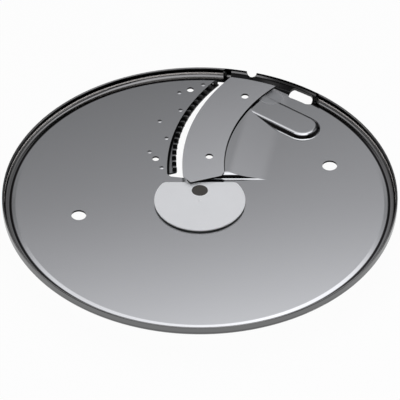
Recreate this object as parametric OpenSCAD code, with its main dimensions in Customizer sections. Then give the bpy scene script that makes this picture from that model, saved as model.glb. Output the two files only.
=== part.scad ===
/* [Disc] */
// Diameter over the rim
disc_d = 180; // [174:1:190]
// Thickness of the disc sheet
sheet_t = 0.9; // [0.7:0.1:1.1]
// Height of the rim above the plate
rim_h = 3.6; // [3:0.1:5]
// Depth of the groove inside the rim
groove_depth = 0.6; // [0.4:0.1:0.9]
// Radius of the bend between groove and rim
rim_bend_r = 1.5; // [1.2:0.1:2]
// Width of the groove floor between its two bends
groove_floor_w = 0.8; // [0.5:0.05:1.5]
// Radius of the half round notch in the top of the rim
notch_r = 2.35; // [1.5:0.05:3]
// Radius of the two large plain holes
plain_hole_r = 3.4; // [2.5:0.1:4]

/* [Pressed forms] */
// Height of the pressed ramp that carries the blade
ramp_h = 2.5; // [1.8:0.1:3]
// Steepest angle of the ramp surface
ramp_angle = 10; // [9.5:0.5:11]
// Distance from the disc axis to the start of the ramp's fall
ramp_start = 8.8; // [8:0.1:9.5]
// Distance from the disc axis to the inner wall of the ramp
ramp_wall_y = 18.4; // [17.5:0.1:19]
// Height of the pressed tongue behind the blade
tongue_h = 2.3; // [1.8:0.1:2.4]
// Half width of the flat top of the tongue
tongue_top_w = 5.4; // [4:0.1:7]
// Length of the straight part of the tongue
tongue_len = 27; // [25:0.5:29]

/* [Blade] */
// Thickness of the blade
blade_t = 1.0; // [0.8:0.1:1.5]
// Radius of the cutting edge, seen from above
edge_arc_r = 95; // [90:0.5:100]
// Radius of the trailing edge, seen from above
back_arc_r = 75; // [70:0.5:80]
// Greatest width of the blade
blade_w = 19; // [18:0.5:20]
// Width of the ground bevel under the cutting edge
bevel_w = 2.0; // [1:0.1:4]
// Radius of the two blade holes
blade_hole_r = 1.75; // [1.2:0.05:2.5]

/* [Comb] */
// Thickness of the comb sheet
comb_t = 0.8; // [0.6:0.1:1]
// Number of upright teeth
tooth_count = 17; // [8:1:17]
// Distance from tooth to tooth along the comb
tooth_pitch = 4.0; // [3.5:0.1:4]
// Height of the teeth above the comb strip
tooth_h = 2.3; // [1.5:0.1:3]
// Length of a tooth in the cutting direction
tooth_len = 1.8; // [1.2:0.1:2.4]
// Width of the comb strip
comb_w = 16; // [12:0.5:17]

/* [Hub] */
// Height of the hub below the top of the plate
hub_drop = 16; // [12:0.5:22]
// Diameter of the hub cap
cap_d = 41.4; // [38:0.1:44]
// Distance from the disc axis to the straight side of the cap
cap_chord_y = 12.5; // [11:0.1:13]
// Thickness of the hub cap
cap_t = 0.5; // [0.4:0.1:1]
// Thickness of the collar under the cap
collar_t = 0.8; // [0.5:0.1:1]
// Radius of the drive socket
socket_r = 8; // [6:0.1:9]
// Depth of the drive socket
socket_depth = 10.5; // [8:0.5:11]
// Outside diameter of the hub boss
boss_d = 31; // [28:0.5:34]
// Number of ribs around the boss
rib_count = 8; // [4:1:12]
// Radius of the dark round insert
insert_r = 3.7; // [3:0.1:4.5]
// Distance from the disc axis to the insert
insert_y = 6.8; // [6:0.1:7.5]

/* [Hidden] */
$fn = 96;

disc_r = disc_d / 2;
plate_z = hub_drop;
under_z = plate_z - sheet_t;
// Bends of the step down into the groove
step_bend_r = 1.2;
step_angle = 12;
step_fall = 2 * step_bend_r * (1 - cos(step_angle));
step_w = 2 * step_bend_r * sin(step_angle) + (groove_depth - step_fall) / tan(step_angle);
rim_inner_r = disc_r - sheet_t;
groove_end_r = rim_inner_r - rim_bend_r;
step_r = groove_end_r - groove_floor_w - step_w;
// Ramp, its inner wall and the tongue
ramp_turn = -11;
ramp_bends = [15, 30];
wall_angle = 80;
wall_bends = [2.0, 0.8];
tongue_angle = 70;
tongue_bends = [2.0, 0.9];
tongue_pos = polar(disc_r - 20.6, 47.4);
tongue_turn = -36.5;
// Sheared edge of the ramp beside the rim
shear_gap = 0.7;
shear_r = disc_r - 5.1;
// Curved edges of the blade
blade_x = -8;
blade_end_r = shear_r - 0.7;
blade_c = [blade_x + edge_arc_r, 22];
back_c = [blade_x + blade_w + back_arc_r, 22];
blade_foot = [
    [blade_x + 0.4, 13.8],
    [blade_x + 3.9, 9.9],
    [blade_x + blade_w - 1.1, 14.5],
    [blade_x + blade_w + 0.1, 17.3]
];
blade_holes = [polar(shear_r - 12.2, 73.5), [4.3, 27.9]];
hole_clearance = 1.4;
// Food opening, from the plate's edge over the comb to the edge of the ramp
plate_edge_x = -15;
plate_edge_r = 95;
plate_edge_c = [plate_edge_x + plate_edge_r, 24];
ramp_edge_inset = 7;
ramp_edge_r = edge_arc_r - ramp_edge_inset;
opening_end_r = shear_r + 0.5;
opening_foot = [
    [plate_edge_x + 0.1, 19.6],
    [plate_edge_x + 1.8, 17.9],
    [plate_edge_x + 7.5, 17.0],
    [plate_edge_x + 15.5, 15.8],
    [plate_edge_x + 23, 15.8]
];
// Comb, with its free edge along the tips of the teeth
comb_c = plate_edge_c + [-8.3, 5.5];
comb_edge_r = plate_edge_r - 12.6;
comb_limit_r = step_r - 0.2;
tooth_start = -4.87;
tooth_lip = 0.25;
tooth_root = 0.2;
tooth_step = tooth_pitch / comb_edge_r * 180 / PI;
tooth_foot = 0.3;
// Locating holes and spot welds, in rows along the plate's edge
locating_r = 1.6;
hole_row_r = plate_edge_r + 5.3;
hole_angles = [asin((disc_r - 11.7 - plate_edge_c[1]) / hole_row_r), 3.6];
weld_row_r = [plate_edge_r + 2.4, plate_edge_r + 8.5];
weld_count = 7;
weld_from = asin((disc_r - 8.3 - plate_edge_c[1]) / weld_row_r[0]);
weld_step = weld_from / (weld_count - 1);
weld_nub_r = 1.0;
weld_nub_h = 0.2;
// Large plain holes
plain_holes = [[-55, -8.7], [59.2, 25.5]];
// Plain flange that takes the place of the groove beside the blade
flange_from = 53.5;
flange_to = 80.3;
flange_foot_w = 2.5;
flange_inset = 0.04;
slot_from = 55.1;
slot_to = 60.1;
slot_r = 2.35;
slot_end_r = slot_r + 0.05;
slot_mid_r = shear_r + 1.05;
notch_at = 74.6;
fin_pos = polar(rim_inner_r - 1.94, 82.42);
fin_w = 1.5;
// Hub details
neck_r = 13;
collar_inset = 0.2;
corner_r = 3;
fit_gap = 0.02;
boss_r = boss_d / 2;
flange_t = 2;
rib_t = 2;
insert_depth = 3;
cap_r = cap_d / 2;
collar_z = plate_z + collar_t;
cap_top_z = collar_z + cap_t;

// Points along an arc, from one angle to the other
function arc_pts(c, r, a0, a1, n) =
    [for (i = [0:n]) c + r * [cos(a0 + (a1 - a0) * i / n), sin(a0 + (a1 - a0) * i / n)]];

// Length of the straight part of a pressed wall with two bends
function straight_len(h, bends, a) = (h - (bends[0] + bends[1]) * (1 - cos(a))) / sin(a);

// Distance across a pressed wall, from flat top to flat foot
function wall_width(h, bends, a) =
    (bends[0] + bends[1]) * sin(a) + straight_len(h, bends, a) * cos(a);

// A pressed wall from a flat top at height h down to height zero, moved inwards by the value off
function pressed_wall(w, h, bends, a, off, n) = concat(
    arc_pts([w, h - bends[0]], bends[0] - off, 90, 90 - a, n),
    arc_pts([w + wall_width(h, bends, a), bends[1]], bends[1] + off, 270 - a, 270, n)
);

// Centre of a feature at a given distance and angle from the disc axis
function polar(r, a) = [r * cos(a), r * sin(a)];

// Place on a row that runs along the plate's edge over the comb
function edge_row(r, a) = plate_edge_c + r * [-cos(a), sin(a)];

// Tip of a tooth on the free edge of the comb
function tooth_tip(i) =
    comb_c + comb_edge_r * [-cos(tooth_start + i * tooth_step), sin(tooth_start + i * tooth_step)];

// Sheet of the disc from the hub to the top of the rim, cut through its middle
module rim_profile() {
    lift = [0, -groove_depth];
    bends = [step_bend_r, step_bend_r];
    bend_c = [groove_end_r, rim_bend_r - groove_depth];
    edge_r = sheet_t / 2;
    top = [for (p = pressed_wall(step_r, groove_depth, bends, step_angle, 0, 5)) p + lift];
    foot = [for (p = pressed_wall(step_r, groove_depth, bends, step_angle, sheet_t, 5)) p + lift];
    polygon(concat(
        [[neck_r, -sheet_t], [neck_r, 0]],
        top,
        arc_pts(bend_c, rim_bend_r, 270, 360, 8),
        arc_pts([disc_r - edge_r, rim_h - edge_r], edge_r, 180, 0, 8),
        arc_pts(bend_c, rim_bend_r + sheet_t, 360, 270, 8),
        [for (i = [len(foot) - 1:-1:0]) foot[i]]
    ));
}

// Plain flange without a groove, cut through its middle
module flange_profile() {
    inner_r = shear_r + shear_gap;
    edge_r = sheet_t / 2;
    polygon(concat(
        [[inner_r, -groove_depth], [inner_r + flange_foot_w, flange_foot_w - groove_depth]],
        arc_pts([disc_r - edge_r, rim_h - edge_r], edge_r - flange_inset, 180, 0, 8),
        [[inner_r + flange_foot_w + 0.8, flange_foot_w - groove_depth - 0.5]],
        [[inner_r + 0.5, -groove_depth - sheet_t], [inner_r, -groove_depth - sheet_t]]
    ));
}

// Endless block with one pressed wall, falling in the direction turn
module wall_block(turn, w, h, bends, a, off, foot, n) {
    far = disc_d;
    rotate([0, 0, turn])
        rotate([90, 0, 0])
            linear_extrude(height = 2 * far, center = true)
                polygon(concat(
                    [[-far, -foot], [-far, h - off]],
                    pressed_wall(w, h, bends, a, off, n),
                    [[w + wall_width(h, bends, a), -foot]]
                ));
}

// Pressed tongue with one round end
module tongue(off, foot) {
    side = pressed_wall(tongue_top_w, tongue_h, tongue_bends, tongue_angle, off, 5);
    last = len(side) - 1;
    foot_w = tongue_top_w + wall_width(tongue_h, tongue_bends, tongue_angle);
    translate([tongue_pos[0], tongue_pos[1], 0])
        rotate([0, 0, tongue_turn]) {
            rotate_extrude()
                polygon(concat([[0, -foot], [0, tongue_h - off]], side, [[foot_w, -foot]]));
            rotate([90, 0, -90])
                linear_extrude(height = tongue_len)
                    polygon(concat(
                        [[-foot_w, -foot]],
                        [for (i = [last:-1:0]) [-side[i][0], side[i][1]]],
                        side,
                        [[foot_w, -foot]]
                    ));
        }
}

// Top of the pressed forms, or their hollow underside when off is the sheet thickness
module pressed_forms(off, foot) {
    intersection() {
        wall_block(ramp_turn, ramp_start, ramp_h, ramp_bends, ramp_angle, off, foot, 6);
        wall_block(-90, -ramp_wall_y, ramp_h, wall_bends, wall_angle, off, foot, 5);
    }
    tongue(off, foot);
}

// Ground covered by the ramp, between the food opening and the sheared edge at the rim
module ramp_area(grow) {
    intersection() {
        translate(blade_c)
            circle(r = ramp_edge_r + grow);
        circle(r = shear_r + grow / 2);
    }
}

// Food opening between the comb and the ramp
module food_opening() {
    difference() {
        intersection() {
            translate(plate_edge_c)
                circle(r = plate_edge_r, $fn = 192);
            circle(r = opening_end_r);
            polygon(concat(
                [opening_foot[0] + [-15, 20]],
                opening_foot,
                [opening_foot[4] + [52, 24], [disc_r, disc_d], [-disc_r, disc_d]]
            ));
        }
        translate(blade_c)
            circle(r = ramp_edge_r, $fn = 192);
    }
}

// Relief slot beside the rim, with round ends
module relief_slot() {
    intersection() {
        difference() {
            circle(r = slot_mid_r + slot_r, $fn = 192);
            circle(r = slot_mid_r - slot_r, $fn = 192);
        }
        polygon([[0, 0], 2 * polar(disc_r, slot_from), 2 * polar(disc_r, slot_to)]);
    }
    for (a = [slot_from, slot_to])
        translate(polar(slot_mid_r, a))
            circle(r = slot_end_r, $fn = 48);
}

// Every opening that goes straight through the sheet
module cut_outs() {
    food_opening();
    relief_slot();
    for (p = plain_holes)
        translate(p)
            circle(r = plain_hole_r);
    for (a = hole_angles)
        translate(edge_row(hole_row_r, a))
            circle(r = locating_r, $fn = 48);
    // Clearance under the blade holes
    for (p = blade_holes)
        translate(p + [0, hole_clearance])
            circle(r = blade_hole_r + hole_clearance, $fn = 48);
}

// Low round nub left by a spot weld
module weld_mark(at) {
    ball_r = (weld_nub_r * weld_nub_r + weld_nub_h * weld_nub_h) / (2 * weld_nub_h);
    translate([at[0], at[1], 0])
        intersection() {
            translate([0, 0, weld_nub_h - ball_r])
                sphere(r = ball_r, $fn = 32);
            translate([0, 0, -sheet_t / 2])
                cylinder(r = weld_nub_r + 0.5, h = sheet_t, $fn = 32);
        }
}

module disc_plate() {
    color("silver")
        translate([0, 0, plate_z])
            difference() {
                union() {
                    difference() {
                        rotate_extrude($fn = 192)
                            rim_profile();
                        // Room for the plain flange
                        rotate([0, 0, flange_from])
                            rotate_extrude(angle = flange_to - flange_from, $fn = 192)
                                translate([shear_r, -5])
                                    square([10, 15]);
                    }
                    for (i = [0:weld_count - 1])
                        weld_mark(edge_row(weld_row_r[i % 2], weld_from - weld_step * i));
                    rotate([0, 0, flange_from - 0.3])
                        rotate_extrude(angle = flange_to - flange_from + 0.6, $fn = 192)
                            flange_profile();
                    intersection() {
                        pressed_forms(0, sheet_t / 2);
                        translate([0, 0, -sheet_t])
                            linear_extrude(height = 10)
                                ramp_area(0);
                    }
                    // Upright fin beside the end of the comb
                    translate([fin_pos[0] - fin_w / 2, fin_pos[1], -groove_depth - sheet_t / 2])
                        cube([fin_w, sheet_t, rim_h + groove_depth]);
                }
                intersection() {
                    pressed_forms(sheet_t, 6);
                    translate([0, 0, -8])
                        linear_extrude(height = 16)
                            ramp_area(0.6);
                }
                translate([0, 0, -8])
                    linear_extrude(height = 16)
                        cut_outs();
                // Half round notch in the rim
                rotate([0, 0, notch_at])
                    translate([disc_r - 4, 0, rim_h])
                        rotate([0, 90, 0])
                            cylinder(r = notch_r, h = 8);
            }
}

// Outline of the blade inside its two curved edges
module blade_outline() {
    intersection() {
        difference() {
            circle(r = blade_end_r, $fn = 192);
            translate(back_c)
                circle(r = back_arc_r, $fn = 192);
        }
        polygon(concat(
            [blade_foot[0] + 6 * (blade_foot[0] - blade_foot[1])],
            blade_foot,
            [blade_foot[3] + 28 * (blade_foot[3] - blade_foot[2]), [-disc_r, disc_d]]
        ));
    }
}

module slicing_blade() {
    flat = 0.15;
    color("gainsboro")
        translate([0, 0, plate_z + ramp_h])
            difference() {
                intersection() {
                    linear_extrude(height = blade_t)
                        blade_outline();
                    // The body ends at the cutting edge, with the bevel ground from below
                    translate([blade_c[0], blade_c[1], 0])
                        rotate_extrude($fn = 192)
                            polygon([
                                [0, -1],
                                [edge_arc_r - bevel_w, -1],
                                [edge_arc_r - bevel_w, 0],
                                [edge_arc_r, blade_t - flat],
                                [edge_arc_r, blade_t + 1],
                                [0, blade_t + 1]
                            ]);
                }
                for (p = blade_holes)
                    translate([p[0], p[1], -1])
                        cylinder(r = blade_hole_r, h = blade_t + 2, $fn = 48);
                // Shallow dip opposite the notch in the rim
                translate(concat(polar(shear_r + 2.3, notch_at), -1))
                    cylinder(r = 2.2, h = blade_t + 2, $fn = 48);
            }
}

module julienne_comb() {
    first = tooth_tip(0);
    color("lightgrey")
        translate([0, 0, under_z - comb_t]) {
            difference() {
                linear_extrude(height = comb_t)
                    difference() {
                        intersection() {
                            translate(comb_c)
                                circle(r = comb_edge_r + comb_w, $fn = 192);
                            circle(r = comb_limit_r, $fn = 192);
                            polygon([
                                first + [0.6, -0.15],
                                first + [-3.7, -1.6],
                                [-disc_r, first[1] - 1.6],
                                [-disc_r, disc_r],
                                [disc_r, disc_r],
                                [disc_r, first[1] - 0.15]
                            ]);
                        }
                        translate(comb_c)
                            circle(r = comb_edge_r + tooth_lip, $fn = 192);
                    }
                // Clearance around the locating holes
                for (a = hole_angles)
                    translate(concat(edge_row(hole_row_r, a), -1))
                        cylinder(r = locating_r + hole_clearance, h = comb_t + 2, $fn = 48);
            }
            // Upright teeth along the free edge
            for (i = [0:tooth_count - 1]) {
                tip = tooth_tip(i);
                if (norm(tip + [0, comb_t]) < comb_limit_r)
                    translate([tip[0], tip[1], 0])
                        rotate([90, 0, 180])
                            linear_extrude(height = comb_t)
                                polygon([
                                    [0, tooth_root],
                                    [0, comb_t + tooth_h - 0.5],
                                    [0.4, comb_t + tooth_h],
                                    [tooth_len, comb_t + tooth_h],
                                    [tooth_len + tooth_foot, comb_t + tooth_h / 2],
                                    [tooth_len + tooth_foot, tooth_root]
                                ]);
            }
        }
}

// Round outline with one straight side and rounded corners
module cap_outline(r) {
    chord = cap_chord_y - (cap_r - r);
    cx = sqrt((r - corner_r) * (r - corner_r) - (chord - corner_r) * (chord - corner_r));
    c = [cx, chord - corner_r];
    out = c / norm(c);
    difference() {
        intersection() {
            circle(r = r, $fn = 192);
            translate([-r - 1, chord - 3 * r])
                square([2 * r + 2, 3 * r]);
        }
        for (m = [0, 1])
            mirror([m, 0])
                difference() {
                    polygon([c, c + 8 * out, c + [8, 8], c + [0, 8]]);
                    translate(c)
                        circle(r = corner_r + 0.01, $fn = 64);
                }
    }
}

module hub_boss() {
    color("dimgray")
        difference() {
            union() {
                cylinder(r = boss_r, h = under_z);
                // Flanges that hold the sheet between them
                translate([0, 0, under_z - flange_t])
                    linear_extrude(height = flange_t)
                        cap_outline(cap_r - collar_inset);
                translate([0, 0, under_z - 1])
                    cylinder(r = neck_r - fit_gap, h = 1 + sheet_t + collar_t / 2);
                translate([0, 0, plate_z])
                    linear_extrude(height = collar_t)
                        cap_outline(cap_r - collar_inset);
                for (i = [0:rib_count - 1])
                    rotate([0, 0, (i + 0.5) * 360 / rib_count])
                        translate([boss_r - 1, -rib_t / 2, 0])
                            rotate([90, 0, 0])
                                translate([0, 0, -rib_t])
                                    linear_extrude(height = rib_t)
                                        polygon([
                                            [0, 3],
                                            [2.2, 3],
                                            [3.2, 6],
                                            [3.2, under_z - flange_t + 0.5],
                                            [0, under_z - flange_t + 0.5]
                                        ]);
            }
            // Blind drive socket with a keyway
            translate([0, 0, -1])
                cylinder(r = socket_r, h = socket_depth + 1);
            translate([-1.5, 0, -1])
                cube([3, socket_r + 2.2, socket_depth]);
            // Chamfered mouth
            translate([0, 0, -0.01])
                cylinder(r1 = socket_r + 1, r2 = socket_r, h = 1);
            // Seat of the insert
            translate([0, insert_y, cap_top_z - insert_depth])
                cylinder(r = insert_r, h = insert_depth + 1);
        }
}

module hub_cap() {
    color("whitesmoke")
        difference() {
            translate([0, 0, collar_z])
                linear_extrude(height = cap_t)
                    cap_outline(cap_r);
            translate([0, insert_y, collar_z - 1])
                cylinder(r = insert_r, h = cap_t + 2);
            // Moulding gate in the middle of the cap
            translate([0, 0, cap_top_z + 1.2])
                sphere(r = 1.5, $fn = 32);
        }
}

module hub_insert() {
    color("darkslategray")
        translate([0, insert_y, cap_top_z - insert_depth])
            cylinder(r = insert_r, h = insert_depth);
}

disc_plate();
slicing_blade();
julienne_comb();
hub_boss();
hub_cap();
hub_insert();
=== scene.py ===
import math

import bpy
import bmesh
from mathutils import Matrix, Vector

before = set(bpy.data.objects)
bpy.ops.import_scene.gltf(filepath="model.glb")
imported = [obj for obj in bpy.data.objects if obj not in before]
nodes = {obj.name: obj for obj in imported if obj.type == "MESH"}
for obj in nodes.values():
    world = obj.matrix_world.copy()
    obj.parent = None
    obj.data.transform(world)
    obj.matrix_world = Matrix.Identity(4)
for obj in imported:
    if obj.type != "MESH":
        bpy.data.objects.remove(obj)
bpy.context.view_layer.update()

# Places on the part in metres. A centre is an x and y, and for the rim's bend a radius and z.
PLATE_Z = 0.016
RIM_TOP_Z = PLATE_Z + 0.0036
RIM_WALL_R = 0.089
RIM_OUTER_R = 0.0899
RIM_BEND_CENTRE = (0.0875, PLATE_Z + 0.001)
GROOVE_FLOOR_R = (0.0855, 0.0868)
GROOVE_R = (0.0864, 0.0872)
STEP_R = (0.0834, 0.0866)
FLAT_R = 0.0845
FLANGE_X = (0.0115, 0.0545)
FLANGE_R = 0.085
FLANGE_WALL_R = 0.0885
BLADE_CENTRE = (0.087, 0.022)
BLADE_EDGE_R = 0.0935
BLADE_BACK_CENTRE = (0.086, 0.022)
BLADE_BACK_R = 0.075
BLADE_Y = (0.0185, 0.073)
PLATE_EDGE_CENTRE = (0.080, 0.024)
PLATE_EDGE_R = 0.095
WELD_R = (0.0964, 0.1045)
# Centre and fade radii of the painted light patch where the tongue starts
LIGHT_PATCH_CENTRE = (0.0325, 0.0713)
LIGHT_PATCH_R = (0.004, 0.0068)

# The photograph's camera
ELEVATION = math.radians(41.3)
PX_PER_M = 2199.0
IMAGE = 400
CENTRE_PX = (199.8, 202.4)
CAMERA_DISTANCE = 8.0
SENSOR_WIDTH = 36

# Grey value of steel in deep shade
BLACK = 0.004

# Upward part of a face's normal below which the face counts as steep
UPRIGHT_LEAN = 0.08
BLADE_LEAN = 0.3
STEEP_LEAN = 0.7

FLOOR_Z = -0.0003
FLOOR_HALF = 3.0
FLOOR_CELLS = 24
FLOOR_WHITE_SHARE = 0.96

# Angle over the studio arch, from the horizon in front up and over, and the strength of its glow
GLOW = [
    (0, 0.3), (46, 0.28), (54, 1.45), (116, 1.45), (123, 1.1), (128, 0.78), (132.4, 0.57),
    (136.2, 0.42), (141.8, 0.335), (146, 0.28), (149, 0.2), (153, 0.02), (180, 0.01)
]
# Place across the arch in metres and the share of the glow there
ACROSS = [(-0.12, 0.77), (0.09, 1.17), (0.15, 1.05)]
ARCH_R = 0.35
ARCH_HALF_W = 1.2
ARCH_TURN = (-2, 182)
ARCH_ROWS = 184
ARCH_COLUMNS = 160
# The arch is dark at its sides and softly lit towards its ends
SIDE_X = 0.18
SIDE_FADE = 0.03
SIDE_LOSS = 0.92
END_X = 0.38
END_GLOW = 0.35
FRONT_ANGLE = 20
FRONT_WARMTH = 0.06
COOLNESS = 0.035


def new_material(name):
    mat = bpy.data.materials.new(name)
    mat.use_nodes = True
    tree = mat.node_tree
    shader = tree.nodes["Principled BSDF"]
    return mat, tree, shader


def add(tree, kind, **inputs):
    node = tree.nodes.new(kind)
    for key, value in inputs.items():
        node.inputs[key.replace("_", " ")].default_value = value
    return node


def math_node(tree, op, a, b=0.0, clamp=False):
    node = tree.nodes.new("ShaderNodeMath")
    node.operation = op
    node.use_clamp = clamp
    for i, v in enumerate((a, b)):
        if isinstance(v, (int, float)):
            node.inputs[i].default_value = v
        else:
            tree.links.new(v, node.inputs[i])
    return node.outputs[0]


def smooth_range(tree, value, low, high, to_low=0.0, to_high=1.0):
    node = tree.nodes.new("ShaderNodeMapRange")
    node.interpolation_type = "SMOOTHSTEP"
    node.inputs["From Min"].default_value = low
    node.inputs["From Max"].default_value = high
    node.inputs["To Min"].default_value = to_low
    node.inputs["To Max"].default_value = to_high
    tree.links.new(value, node.inputs["Value"])
    return node.outputs["Result"]


def noise(tree, scale, stretch=(1, 1, 1), detail=3.0, rough=0.5, turn=0.0):
    coord = tree.nodes.new("ShaderNodeTexCoord")
    place = tree.nodes.new("ShaderNodeMapping")
    place.inputs["Scale"].default_value = stretch
    place.inputs["Rotation"].default_value = (0, 0, turn)
    tree.links.new(coord.outputs["Object"], place.inputs["Vector"])
    tex = add(tree, "ShaderNodeTexNoise", Scale=scale, Detail=detail, Roughness=rough)
    tree.links.new(place.outputs["Vector"], tex.inputs["Vector"])
    return tex.outputs["Fac"]


def mix_color(tree, factor, a, b):
    node = tree.nodes.new("ShaderNodeMix")
    node.data_type = "RGBA"
    if isinstance(factor, (int, float)):
        node.inputs[0].default_value = factor
    else:
        tree.links.new(factor, node.inputs[0])
    for socket, value in ((node.inputs[6], a), (node.inputs[7], b)):
        if isinstance(value, tuple):
            socket.default_value = value
        else:
            tree.links.new(value, socket)
    return node.outputs[2]


def grey(v, warm=0.0):
    return (v * (1 + warm), v, v * (1 - warm), 1.0)


def steel(name, tone, roughness, streak_turn, streak=0.012, haze=0.02, cool=-0.012):
    mat, tree, shader = new_material(name)
    shader.inputs["Metallic"].default_value = 1.0
    streaks = noise(tree, 220.0, (1.0, 22.0, 1.0), 4.0, 0.6, streak_turn)
    cloud = noise(tree, 28.0, (1, 1, 1), 3.0, 0.5)
    streak_part = math_node(tree, "MULTIPLY", streaks, 0.7)
    cloud_part = math_node(tree, "MULTIPLY", cloud, 0.3)
    tint = math_node(tree, "ADD", streak_part, cloud_part)
    color = mix_color(tree, tint, grey(tone - streak, cool), grey(tone + streak, cool))
    rough = math_node(tree, "ADD", roughness - haze / 2, math_node(tree, "MULTIPLY", cloud, haze))
    tree.links.new(color, shader.inputs["Base Color"])
    tree.links.new(rough, shader.inputs["Roughness"])
    bump = add(tree, "ShaderNodeBump", Strength=0.02, Distance=0.0002)
    tree.links.new(streaks, bump.inputs["Height"])
    tree.links.new(bump.outputs["Normal"], shader.inputs["Normal"])
    return mat, tree, shader, color


def plastic(name, color, roughness, grain, bump_strength=0.15):
    mat, tree, shader = new_material(name)
    fine = noise(tree, grain, (1, 1, 1), 2.0, 0.5)
    wide = noise(tree, 60.0, (1, 1, 1), 3.0, 0.5)
    dark = tuple(c * 0.97 for c in color[:3]) + (1.0,)
    light = tuple(min(1.0, c * 1.03) for c in color[:3]) + (1.0,)
    tree.links.new(mix_color(tree, wide, dark, light), shader.inputs["Base Color"])
    rough = math_node(tree, "ADD", roughness, math_node(tree, "MULTIPLY", wide, 0.08))
    tree.links.new(rough, shader.inputs["Roughness"])
    bump = add(tree, "ShaderNodeBump", Strength=bump_strength, Distance=0.00005)
    tree.links.new(fine, bump.inputs["Height"])
    tree.links.new(bump.outputs["Normal"], shader.inputs["Normal"])
    return mat


def paint(node, mat):
    slots = nodes[node].data.materials
    if len(slots) == 0:
        slots.append(mat)
    for i in range(len(slots)):
        slots[i] = mat


def length_xy(tree, x, y, centre=(0.0, 0.0)):
    """Distance of the point (x, y) from a centre."""
    dx = math_node(tree, "SUBTRACT", x, centre[0])
    dy = math_node(tree, "SUBTRACT", y, centre[1])
    dx_square = math_node(tree, "MULTIPLY", dx, dx)
    dy_square = math_node(tree, "MULTIPLY", dy, dy)
    return math_node(tree, "SQRT", math_node(tree, "ADD", dx_square, dy_square))


def object_xyz(tree):
    coord = tree.nodes.new("ShaderNodeTexCoord")
    split = tree.nodes.new("ShaderNodeSeparateXYZ")
    tree.links.new(coord.outputs["Object"], split.inputs[0])
    return split.outputs


def band(tree, value, low, high, soft):
    """1 between low and high with soft ends, and 0 elsewhere."""
    rise = smooth_range(tree, value, low - soft, low + soft)
    fall = smooth_range(tree, value, high - soft, high + soft, 1.0, 0.0)
    return math_node(tree, "MULTIPLY", rise, fall)


def both(tree, a, b):
    return math_node(tree, "MULTIPLY", a, b)


def either(tree, a, b):
    return math_node(tree, "MAXIMUM", a, b)


def outside(tree, mask):
    return math_node(tree, "SUBTRACT", 1.0, mask)


def below(tree, value, limit):
    return math_node(tree, "LESS_THAN", value, limit)


def upright(tree, lean_limit=UPRIGHT_LEAN):
    """1 on faces steeper than the limit, such as sheared edges, and 0 elsewhere."""
    geometry = tree.nodes.new("ShaderNodeNewGeometry")
    split = tree.nodes.new("ShaderNodeSeparateXYZ")
    tree.links.new(geometry.outputs["True Normal"], split.inputs[0])
    lean = math_node(tree, "ABSOLUTE", split.outputs[2])
    return smooth_range(tree, lean, lean_limit - 0.05, lean_limit, 1.0, 0.0)


def flatten_step(tree, shader, y, radius):
    """Makes the shallow step beside the groove shine like the flat plate on the far half."""
    far_half = smooth_range(tree, y, 0.0, 0.03)
    step = both(tree, far_half, band(tree, radius, STEP_R[0], STEP_R[1], 0.0001))
    normal = shader.inputs["Normal"].links[0].from_socket
    node = tree.nodes.new("ShaderNodeMix")
    node.data_type = "VECTOR"
    tree.links.new(step, node.inputs[0])
    tree.links.new(normal, node.inputs[4])
    node.inputs[5].default_value = (0, 0, 1)
    tree.links.new(node.outputs[1], shader.inputs["Normal"])


def flange_mask(tree, x, y, radius):
    across = band(tree, x, FLANGE_X[0], FLANGE_X[1], 0.0002)
    far_side = smooth_range(tree, y, 0.05, 0.051)
    beyond = smooth_range(tree, radius, FLANGE_R - 0.0001, FLANGE_R + 0.0001)
    return both(tree, both(tree, across, far_side), beyond)


# Painted shade and dark reflections: steep faces inside the flat ring are near black, the groove a
# darker grey and its floor near black.
def groove_painted_shade(tree, color, radius):
    steep = both(tree, upright(tree, STEEP_LEAN), below(tree, radius, FLAT_R))
    color = mix_color(tree, steep, color, grey(0.02))
    groove = smooth_range(tree, radius, GROOVE_R[0], GROOVE_R[1])
    color = mix_color(tree, groove, color, grey(0.22, 0.01))
    groove_floor = band(tree, radius, GROOVE_FLOOR_R[0], GROOVE_FLOOR_R[1], 0.0003)
    return mix_color(tree, groove_floor, color, grey(0.02))


# Painted shade and dark reflections: the rim's inner wall, the flange's wall and all steep faces
# are near black, and the outer wall and the bend below it dark grey.
def rim_painted_shade(tree, color, radius, z, flange):
    below_top = smooth_range(tree, z, RIM_TOP_Z - 0.0006, RIM_TOP_Z - 0.0004, 1.0, 0.0)
    wall = smooth_range(tree, radius, RIM_WALL_R - 0.00005, RIM_WALL_R + 0.00005)
    wall = both(tree, wall, either(tree, below_top, flange))
    color = mix_color(tree, either(tree, upright(tree), wall), color, grey(BLACK))
    outer_wall = smooth_range(tree, radius, RIM_OUTER_R - 0.00005, RIM_OUTER_R + 0.00005)
    outer_wall = both(tree, outer_wall, outside(tree, flange))
    color = mix_color(tree, outer_wall, color, grey(0.17, -0.01))
    from_bend = length_xy(tree, radius, z, RIM_BEND_CENTRE)
    outer_bend = smooth_range(tree, from_bend, 0.002, 0.0022)
    outer_bend = both(tree, outer_bend, below(tree, z, RIM_BEND_CENTRE[1]))
    past_centre = math_node(tree, "GREATER_THAN", radius, RIM_BEND_CENTRE[0])
    return mix_color(tree, both(tree, outer_bend, past_centre), color, grey(0.12, -0.01))


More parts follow.
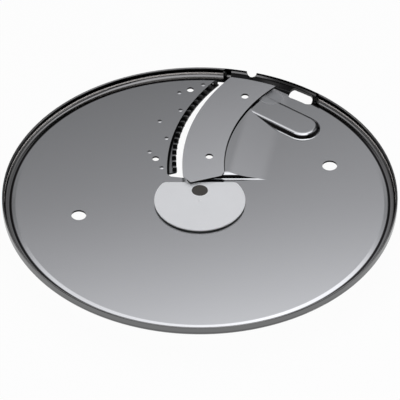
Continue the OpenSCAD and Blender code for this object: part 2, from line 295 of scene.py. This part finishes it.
def welds_and_painted_shade(tree, color, x, y, z, radius, flange):
    """Weld marks in a darker grey, painted shade on the flange and a painted shadow line along the
    blade's back.
    """
    welds = band(tree, length_xy(tree, x, y, PLATE_EDGE_CENTRE), WELD_R[0], WELD_R[1], 0.0001)
    raised = band(tree, z, PLATE_Z + 0.00007, PLATE_Z + 0.0003, 0.00003)
    color = mix_color(tree, both(tree, welds, raised), color, grey(0.42))
    # Painted shade: the flange sheet is near black, a little lighter beyond x 0.036.
    flange_shade_tone = mix_color(tree, smooth_range(tree, x, 0.026, 0.036), grey(0.01), grey(0.05))
    flange_sheet = both(tree, flange, below(tree, radius, FLANGE_WALL_R))
    color = mix_color(tree, flange_sheet, color, flange_shade_tone)
    # Painted shadow: a thin near-black line on the plate along the blade's back.
    from_back = length_xy(tree, x, y, BLADE_BACK_CENTRE)
    back_shadow = band(tree, from_back, BLADE_BACK_R - 0.0004, BLADE_BACK_R, 0.0001)
    back_shadow = both(tree, back_shadow, band(tree, y, BLADE_Y[0], BLADE_Y[1], 0.0005))
    return mix_color(tree, back_shadow, color, grey(0.01))


def painted_highlights(tree, shader, color, x, y, z, radius, flange):
    """A painted highlight line low on the rim's wall and a painted light patch where the tongue
    starts, both matte.
    """
    # Painted highlight: a matte cream band low on the rim's wall, in place of the bend's bright
    # reflection.
    on_wall = band(tree, radius, RIM_WALL_R, RIM_WALL_R + 0.0005, 0.00005)
    line = band(tree, z, PLATE_Z + 0.0004, PLATE_Z + 0.0012, 0.0001)
    highlight_line = both(tree, both(tree, on_wall, line), outside(tree, flange))
    color = mix_color(tree, highlight_line, color, grey(0.9, 0.05))
    # Painted light: a matte grey patch where the tongue starts, in place of its soft highlight.
    from_light_patch = length_xy(tree, x, y, LIGHT_PATCH_CENTRE)
    light_patch = smooth_range(tree, from_light_patch, LIGHT_PATCH_R[0], LIGHT_PATCH_R[1], 1.0, 0.0)
    color = mix_color(tree, light_patch, color, grey(0.31, -0.02))
    metal = outside(tree, either(tree, highlight_line, light_patch))
    tree.links.new(metal, shader.inputs["Metallic"])
    return color


def plate_material():
    mat, tree, shader, color = steel("plate_steel", 0.62, 0.15, 0.0)
    x, y, z = object_xyz(tree)
    radius = length_xy(tree, x, y)
    flange = flange_mask(tree, x, y, radius)
    color = groove_painted_shade(tree, color, radius)
    color = rim_painted_shade(tree, color, radius, z, flange)
    color = welds_and_painted_shade(tree, color, x, y, z, radius, flange)
    color = painted_highlights(tree, shader, color, x, y, z, radius, flange)
    flatten_step(tree, shader, y, radius)
    tree.links.new(color, shader.inputs["Base Color"])
    return mat


def blade_material():
    turn = math.radians(65)
    mat, tree, shader, color = steel("blade_steel", 0.8, 0.24, turn, 0.02, 0.05)
    x, y, z = object_xyz(tree)
    # Painted shade: the steep cut faces behind the blade's sharp edge are near black.
    from_centre = length_xy(tree, x, y, BLADE_CENTRE)
    behind_edge = smooth_range(tree, from_centre, BLADE_EDGE_R, BLADE_EDGE_R + 0.0002, 1.0, 0.0)
    shaded_edge = both(tree, upright(tree, BLADE_LEAN), behind_edge)
    color = mix_color(tree, shaded_edge, color, grey(BLACK))
    tree.links.new(color, shader.inputs["Base Color"])
    return mat


def comb_material():
    mat, tree, shader, color = steel("comb_steel", 0.35, 0.3, 0.3, 0.03, 0.06)
    x, y, z = object_xyz(tree)
    # Painted shade: the strip is near black where it lies under the plate's edge.
    from_centre = length_xy(tree, x, y, PLATE_EDGE_CENTRE)
    under_plate_shade = smooth_range(tree, from_centre, PLATE_EDGE_R - 0.0014, PLATE_EDGE_R - 0.0009)
    inner_end = smooth_range(tree, y, 0.028, 0.05, 1.0, 0.0)
    outer_tone = mix_color(tree, 0.7, color, grey(0.03))
    color = mix_color(tree, inner_end, outer_tone, color)
    color = mix_color(tree, under_plate_shade, color, grey(BLACK))
    # Painted shade: upright faces, such as the teeth's sides, are dark grey.
    color = mix_color(tree, upright(tree), color, grey(0.02))
    tree.links.new(color, shader.inputs["Base Color"])
    return mat


paint("disc_plate", plate_material())
paint("slicing_blade", blade_material())
paint("julienne_comb", comb_material())
paint("hub_boss", plastic("hub_dark", (0.03, 0.03, 0.03, 1), 0.45, 1500.0))
paint("hub_cap", plastic("cap_light", (0.93, 0.94, 0.94, 1), 0.42, 1800.0))
paint("hub_insert", plastic("insert_dark", (0.055, 0.05, 0.043, 1), 0.5, 1500.0))


def seen_directly(tree):
    """1 for rays from the camera, from reflections and through clear parts."""
    path = tree.nodes.new("ShaderNodeLightPath")
    mirrored = either(tree, path.outputs["Is Glossy Ray"], path.outputs["Is Transmission Ray"])
    return either(tree, path.outputs["Is Camera Ray"], mirrored)


def floor_material():
    mat = bpy.data.materials.new("floor_white")
    mat.use_nodes = True
    tree = mat.node_tree
    tree.nodes.clear()
    out = tree.nodes.new("ShaderNodeOutputMaterial")
    diffuse = add(tree, "ShaderNodeBsdfDiffuse", Color=(0.85, 0.85, 0.85, 1))
    glow = add(tree, "ShaderNodeEmission", Color=(1, 1, 1, 1), Strength=1.0)
    mix = tree.nodes.new("ShaderNodeMixShader")
    share = math_node(tree, "MULTIPLY", seen_directly(tree), FLOOR_WHITE_SHARE)
    tree.links.new(share, mix.inputs[0])
    tree.links.new(diffuse.outputs[0], mix.inputs[1])
    tree.links.new(glow.outputs[0], mix.inputs[2])
    tree.links.new(mix.outputs[0], out.inputs["Surface"])
    return mat


def build_floor():
    bm = bmesh.new()
    step = 2 * FLOOR_HALF / FLOOR_CELLS
    rows = []
    for j in range(FLOOR_CELLS + 1):
        y = -FLOOR_HALF + step * j
        xs = [-FLOOR_HALF + step * i for i in range(FLOOR_CELLS + 1)]
        rows.append([bm.verts.new((x, y, FLOOR_Z)) for x in xs])
    for low, high in zip(rows, rows[1:]):
        for i in range(FLOOR_CELLS):
            bm.faces.new((low[i], low[i + 1], high[i + 1], high[i]))
    mesh = bpy.data.meshes.new("floor")
    bm.to_mesh(mesh)
    bm.free()
    obj = bpy.data.objects.new("floor", mesh)
    bpy.context.scene.collection.objects.link(obj)
    mesh.materials.append(floor_material())


def arch_mesh(name):
    """A half cylinder around the X axis. Its angles start at the camera side and go up and over."""
    bm = bmesh.new()
    rows = []
    for j in range(ARCH_ROWS + 1):
        a = math.radians(ARCH_TURN[0] + (ARCH_TURN[1] - ARCH_TURN[0]) * j / ARCH_ROWS)
        y = -ARCH_R * math.cos(a)
        z = ARCH_R * math.sin(a)
        columns = range(ARCH_COLUMNS + 1)
        xs = [-ARCH_HALF_W + 2 * ARCH_HALF_W * i / ARCH_COLUMNS for i in columns]
        rows.append([bm.verts.new((x, y, z)) for x in xs])
    layer = bm.loops.layers.float_color.new("glow")
    for low, high in zip(rows, rows[1:]):
        for i in range(ARCH_COLUMNS):
            face = bm.faces.new((low[i], low[i + 1], high[i + 1], high[i]))
            for loop in face.loops:
                p = loop.vert.co
                loop[layer] = studio_glow(math.degrees(math.atan2(p.z, -p.y)), p.x)
    mesh = bpy.data.meshes.new(name)
    bm.to_mesh(mesh)
    bm.free()
    return mesh


def glow_material(name):
    mat = bpy.data.materials.new(name)
    mat.use_nodes = True
    tree = mat.node_tree
    tree.nodes.clear()
    out = tree.nodes.new("ShaderNodeOutputMaterial")
    em = add(tree, "ShaderNodeEmission", Strength=1.0)
    attr = tree.nodes.new("ShaderNodeVertexColor")
    attr.layer_name = "glow"
    tree.links.new(attr.outputs["Color"], em.inputs["Color"])
    tree.links.new(em.outputs[0], out.inputs["Surface"])
    return mat


def build_studio():
    name = "studio_arch"
    mesh = arch_mesh(name)
    mesh.materials.append(glow_material(name + "_glow"))
    obj = bpy.data.objects.new(name, mesh)
    bpy.context.scene.collection.objects.link(obj)
    obj.visible_camera = False
    obj.visible_shadow = False


def curve_value(x, points):
    if x <= points[0][0]:
        return points[0][1]
    for (x0, v0), (x1, v1) in zip(points, points[1:]):
        if x <= x1:
            return v0 + (v1 - v0) * (x - x0) / (x1 - x0)
    return points[-1][1]


def share_past(value, limit, fade):
    """0 up to the limit, rising to 1 over the fade."""
    return max(0.0, min(1.0, (value - limit) / fade))


def studio_glow(angle, x):
    v = curve_value(angle, GLOW) * curve_value(x, ACROSS)
    v *= 1.0 - SIDE_LOSS * share_past(abs(x), SIDE_X, SIDE_FADE)
    v += (END_GLOW - v) * share_past(abs(x), END_X, SIDE_FADE)
    warm = FRONT_WARMTH if angle < FRONT_ANGLE else 0.0
    return (v * (1 + warm), v, v * (1 - 1.5 * warm + COOLNESS), 1.0)


def build_world():
    world = bpy.data.worlds.new("studio_world")
    bpy.context.scene.world = world
    world.use_nodes = True
    tree = world.node_tree
    tree.nodes.clear()
    out = tree.nodes.new("ShaderNodeOutputWorld")
    seen_bg = add(tree, "ShaderNodeBackground", Color=(1, 1, 1, 1), Strength=1.0)
    soft_bg = add(tree, "ShaderNodeBackground", Color=(1, 1, 1, 1), Strength=0.5)
    mix = tree.nodes.new("ShaderNodeMixShader")
    tree.links.new(seen_directly(tree), mix.inputs[0])
    tree.links.new(soft_bg.outputs[0], mix.inputs[1])
    tree.links.new(seen_bg.outputs[0], mix.inputs[2])
    tree.links.new(mix.outputs[0], out.inputs["Surface"])


def build_camera():
    cam = bpy.data.cameras.new("camera")
    obj = bpy.data.objects.new("camera", cam)
    bpy.context.scene.collection.objects.link(obj)
    up = Vector((0, math.sin(ELEVATION), math.cos(ELEVATION)))
    back = Vector((0, -math.cos(ELEVATION), math.sin(ELEVATION)))
    target = Vector((0, 0, PLATE_Z))
    target += Vector((1, 0, 0)) * ((IMAGE / 2 - CENTRE_PX[0]) / PX_PER_M)
    target += up * ((CENTRE_PX[1] - IMAGE / 2) / PX_PER_M)
    obj.location = target + back * CAMERA_DISTANCE
    obj.rotation_euler = (math.pi / 2 - ELEVATION, 0, 0)
    cam.sensor_width = SENSOR_WIDTH
    cam.lens = SENSOR_WIDTH * CAMERA_DISTANCE / (IMAGE / PX_PER_M)
    cam.clip_start = 0.1
    cam.clip_end = 50
    bpy.context.scene.camera = obj


build_floor()
build_studio()
build_world()
build_camera()

view = bpy.context.scene.view_settings
view.view_transform = "Standard"
